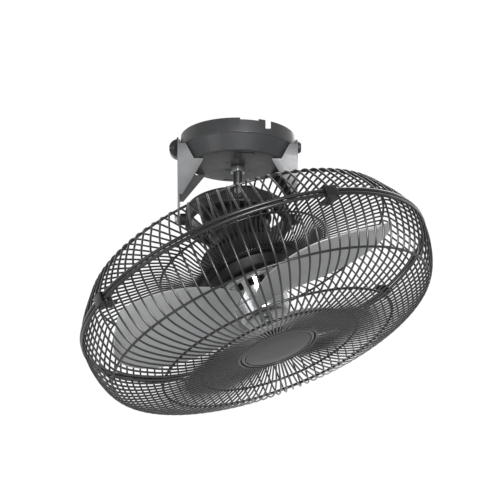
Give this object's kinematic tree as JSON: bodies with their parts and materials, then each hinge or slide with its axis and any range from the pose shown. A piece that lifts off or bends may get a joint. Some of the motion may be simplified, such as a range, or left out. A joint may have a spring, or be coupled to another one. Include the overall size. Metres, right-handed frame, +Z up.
{
  "type": "orbital ceiling fan",
  "caption": "Ceiling fan whose guarded head hangs in a gimbal ring between two arms and swings in a full circle while its blades spin.",
  "frame": {"origin": "centre of the mounting plate on the ceiling plane", "axes": "+Z up into the ceiling, X along the pivot line of the two arms, -Y towards the viewer of the picture"},
  "size_m": [0.4453, 0.4571, 0.3674],
  "materials": {
    "plate": "zinc plated satin",
    "canopy": "satin charcoal paint",
    "arm": "satin grey paint",
    "ring": "satin black paint",
    "case": "satin black paint",
    "motor": "satin black paint",
    "wire": "gloss charcoal paint on drawn wire",
    "blade": "brushed grey lacquer",
    "hub": "polished",
    "cap_rim": "gloss",
    "cap_disc": "high gloss",
    "fastener": "zinc plated",
    "bearing": "ground",
    "lamination": "stacked laminations",
    "copper": "enamelled copper wire",
    "brass": "turned",
    "nylon": "moulded nylon",
    "black_plastic": "moulded, fine texture",
    "rubber": "matt"
  },
  "bodies": {
    "base": {"mounting_plate": "plate", "canopy": "canopy", "cable_grommet": "rubber", "terminal_block": "nylon", "run_capacitor": "black_plastic", "swing_stud": "fastener", "stud_nut": "fastener", "stud_cross_pin": "fastener", "right_thumb_nut": "black_plastic", "left_safety_ear": "black_plastic", "right_arm": "arm", "right_arm_bolt": "fastener", "right_pivot_bush": "nylon", "left_arm": "arm", "left_arm_bolt": "fastener", "left_pivot_bush": "nylon"},
    "ring": {"gimbal_ring": "ring", "right_pivot_bolt": "fastener", "left_pivot_bolt": "fastener", "rear_trunnion_pin": "fastener", "rear_trunnion_washer": "nylon", "front_trunnion_pin": "fastener", "front_trunnion_washer": "nylon"},
    "head": {"gear_case": "case", "gear_case_cover": "case", "crank_bush": "brass", "swing_motor": "lamination", "motor_housing": "motor", "motor_front_bell": "motor", "rear_bearing": "bearing", "front_bearing": "bearing", "stator_core": "lamination", "rear_winding": "copper", "front_winding": "copper", "bell_bolt_1": "fastener", "bell_bolt_2": "fastener", "bell_bolt_3": "fastener", "bell_bolt_4": "fastener", "guard_clamp": "motor", "rear_guard": "wire", "front_guard": "wire", "belt_clip_1": "wire", "belt_clip_2": "wire", "belt_clip_3": "wire", "belt_clip_4": "wire", "centre_cap": "cap_rim", "cap_disc": "cap_disc"},
    "pinion": {"swing_pinion": "nylon"},
    "crank": {"crank_gear": "nylon", "crank_shaft": "fastener", "crank_arm": "fastener", "crank_ball": "fastener"},
    "rotor": {"rotor_core": "lamination", "motor_shaft": "fastener", "blade_hub": "hub", "hub_nut": "fastener", "blade_1": "blade", "blade_2": "blade", "blade_3": "blade"}
  },
  "joints": [
    {"name": "ring_swing", "type": "hinge", "parent": "base", "child": "ring", "pos_m": [0, 0, -0.115], "axis": [1, 0, 0], "range_deg": [-10.6, 36.4]},
    {"name": "head_swing", "type": "hinge", "parent": "ring", "child": "head", "pos_m": [0, 0, -0.115], "axis": [0, 0.9748, -0.2233], "range_deg": [-4.08, 42.92]},
    {"name": "rotor_spin", "type": "hinge", "parent": "head", "child": "rotor", "pos_m": [-0.01194, -0.00094, -0.1191], "axis": [-0.3325, 0.2105, 0.9193], "continuous": true},
    {"name": "crank_spin", "type": "hinge", "parent": "head", "child": "crank", "pos_m": [0, 0, -0.115], "axis": [-0.3325, 0.2105, 0.9193], "continuous": true},
    {"name": "pinion_spin", "type": "hinge", "parent": "head", "child": "pinion", "pos_m": [-0.02292, -0.0018, -0.12288], "axis": [-0.3325, 0.2105, 0.9193], "continuous": true}
  ],
  "couplings": [
    {"joint": "pinion_spin", "follows": "crank_spin", "ratio": -3}
  ]
}
